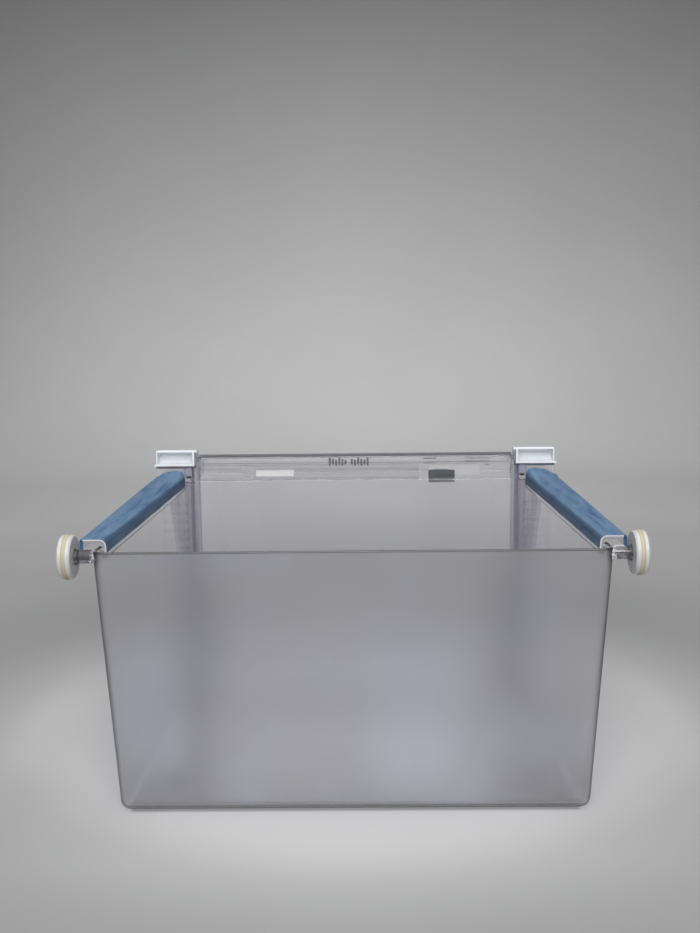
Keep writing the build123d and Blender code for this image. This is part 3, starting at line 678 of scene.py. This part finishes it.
# Prints. Pad printing in dark ink on the front of the strip. Plain marks stand for its lettering, which is
# a row of strokes in the middle, and for the lines of its scale.
ink_dark = (0.05, 0.05, 0.055, 1.0)
ink_worn = (0.10, 0.10, 0.11, 1.0)
ink_depth = 0.00008
ink_face = panel_back - 0.0024 - 0.00002
stroke_left = 0.0230
stroke_width = 0.0019
stroke_pitch = 0.0030
stroke_count = 13
stroke_gap = 6
stroke_low = 0.2000
stroke_high = 0.2074
marks = [
    ((-0.0772, -0.0648), (0.2058, 0.2067)),
    ((-0.0772, -0.0648), (0.2012, 0.2022)),
    ((-0.1276, -0.1044), (0.2058, 0.2065)),
    ((-0.1276, -0.1044), (0.2026, 0.2036)),
    ((-0.1276, -0.1230), (0.1996, 0.2003)),
]
for stroke in range(stroke_count):
    if stroke != stroke_gap:
        left = stroke_left - stroke_pitch * stroke
        low = stroke_low + 0.0012 * (stroke % 2)
        marks.append(((left, left + stroke_width), (low, stroke_high - 0.0010 * (stroke % 3))))
ink_finish = satin_moulding("print_ink", ink_dark, ink_worn, 0.6, 2000.0)
for number, (across, up) in enumerate(marks):
    thin_plate(f"print_{number}", across, ink_face, ink_depth, up, ink_finish)

# Studio. A seamless sweep of pale paper all round, with painted light and shade toned by place as the
# room in the photograph is: a painted pool of light round the drawer, painted falloff up the wall, to the
# sides and towards the camera, and painted shadow under the drawer. One broad lamp overhead and a second
# one behind the camera.
floor_radius = 1.45
sweep_radius = 0.55
wall_height = 2.6
sweep_points = 16
sweep_steps = 96
paper_fibre = 0.94
paper_roughness = 0.75
pool_centre = (0.0, -0.05, 0.0)
pool_reach = 2.0
pool_tones = ((0.0, 0.54), (0.20, 0.61), (0.25, 0.61), (0.30, 0.44), (0.40, 0.31), (0.60, 0.47), (0.80, 0.57),
              (1.0, 0.70), (1.4, 0.92), (2.0, 0.92))
near_reach = 0.5
near_tones = ((0.0, 1.0), (0.22, 1.0), (0.28, 0.93), (0.36, 0.76), (0.5, 0.68))
wall_reach = 2.6
backdrop_tones = ((0.0, 1.0), (0.2, 0.94), (0.5, 0.74), (0.8, 0.57), (1.06, 0.40), (1.3, 0.24), (2.6, 0.12))
side_reach = 2.0
side_tones = ((0.0, 1.0), (0.33, 0.93), (0.60, 0.83), (0.87, 0.68), (1.2, 0.45), (1.6, 0.28), (2.0, 0.25))
shade_share = 0.42
shade_half = 0.157
shade_from = -0.152
shade_to = 0.1555
shade_soft = 0.004
air_grey = (0.50, 0.51, 0.53, 1.0)
air_strength = 0.35


def sweep_profile():
    """Points (radius, height) of the sweep: flat floor, a quarter bend and a wall."""
    angles = [pi / 2 * k / sweep_points for k in range(sweep_points + 1)]
    bend = [(floor_radius + sweep_radius * sin(angle), sweep_radius * (1 - cos(angle))) for angle in angles]
    return [(0.0, 0.0)] + bend + [(floor_radius + sweep_radius, wall_height)]


sweep_mesh = bmesh.new()
profile = [sweep_mesh.verts.new((radius, 0, height)) for radius, height in sweep_profile()]
edges = [sweep_mesh.edges.new(pair) for pair in zip(profile, profile[1:])]
bmesh.ops.spin(sweep_mesh, geom=profile + edges, cent=(0, 0, 0), axis=(0, 0, 1), angle=2 * pi,
               steps=sweep_steps)
bmesh.ops.remove_doubles(sweep_mesh, verts=sweep_mesh.verts, dist=1e-5)
bmesh.ops.recalc_face_normals(sweep_mesh, faces=sweep_mesh.faces)
sweep = placed("sweep", sweep_mesh, True)
paper_finish, paper_tree, paper_shader = new_finish("pale_paper")
paper_place = add(paper_tree, "ShaderNodeTexCoord").outputs["Object"]
paper_x, paper_aside, paper_y, paper_z = parted(paper_tree, paper_place)


def tone_by(value, reach, tones):
    """Painted light on the paper as the value runs from 0 to its reach, through these (value, tone) stops."""
    stops = [(at / reach, tone) for at, tone in tones]
    return toned(paper_tree, combined(paper_tree, "DIVIDE", value, reach), stops, blend="B_SPLINE")


flat_place = add(paper_tree, "ShaderNodeVectorMath", {0: paper_place, 1: (1.0, 1.0, 0.0)},
                 operation="MULTIPLY")
from_pool = add(paper_tree, "ShaderNodeVectorMath", {0: flat_place.outputs["Vector"], 1: pool_centre},
                operation="DISTANCE")
# Painted shadow on the paper under the drawer's footprint.
under = combined(paper_tree, "MULTIPLY", within(paper_tree, paper_x, -shade_half, shade_half, shade_soft),
                 within(paper_tree, paper_y, shade_from, shade_to, shade_soft), shade_share)
fibres = mottled(paper_tree, paper_place, 3.0, 6.0, 0.6)
paper_tone = combined(
    paper_tree,
    "MULTIPLY",
    tone_by(from_pool.outputs["Value"], pool_reach, pool_tones),
    tone_by(paper_z, wall_reach, backdrop_tones),
    tone_by(paper_aside, side_reach, side_tones),
    tone_by(paper_y, near_reach, near_tones),
    combined(paper_tree, "SUBTRACT", 1.0, under),
    ranged(paper_tree, fibres, 0.0, 1.0, paper_fibre, 2 - paper_fibre),
)
feed(paper_tree, paper_shader, {"Base Color": paper_tone, "Roughness": paper_roughness})
dress(sweep, paper_finish)


def softbox(name, size, power, place, aim):
    """A square area lamp at this place, facing its aim."""
    lamp = bpy.data.lights.new(name, "AREA")
    lamp.shape = "SQUARE"
    lamp.size = size
    lamp.energy = power
    holder = bpy.data.objects.new(name, lamp)
    bpy.context.scene.collection.objects.link(holder)
    holder.location = place
    holder.rotation_euler = (Vector(aim) - Vector(place)).to_track_quat("-Z", "Y").to_euler()


softbox("overhead", 1.1, 17.0, (0.0, 0.1, 1.9), (0.0, 0.0, 0.0))
softbox("behind_camera", 1.2, 33.0, (0.0, 1.5, 1.25), (0.0, -0.3, 0.15))
world = bpy.data.worlds.new("studio_air")
bpy.context.scene.world = world
world.use_nodes = True
feed(world.node_tree, world.node_tree.nodes["Background"], {"Color": air_grey, "Strength": air_strength})

# Camera. It stands behind and above the drawer, a little tilted, as the photograph was taken. Its lens
# comes from the ellipses of the rollers.
camera_place = (-0.0079, 0.88315, 0.3475)
camera_turn = radians(180.70)
camera_pitch = radians(-8.15)
camera_roll = radians(0.63)
long_side_pixels = 933
focal_pixels = 1100.0
sensor = 36.0
camera_data = bpy.data.cameras.new("camera")
camera_data.sensor_width = sensor
camera_data.lens = focal_pixels / long_side_pixels * sensor
camera = bpy.data.objects.new("camera", camera_data)
bpy.context.scene.collection.objects.link(camera)
camera.matrix_world = (
    Matrix.Translation(camera_place)
    @ Matrix.Rotation(camera_turn, 4, "Z")
    @ Matrix.Rotation(camera_pitch, 4, "X")
    @ Matrix.Rotation(camera_roll, 4, "Y")
    @ Matrix.Rotation(pi / 2, 4, "X")
)
bpy.context.scene.camera = camera
bpy.context.scene.view_settings.view_transform = "Standard"
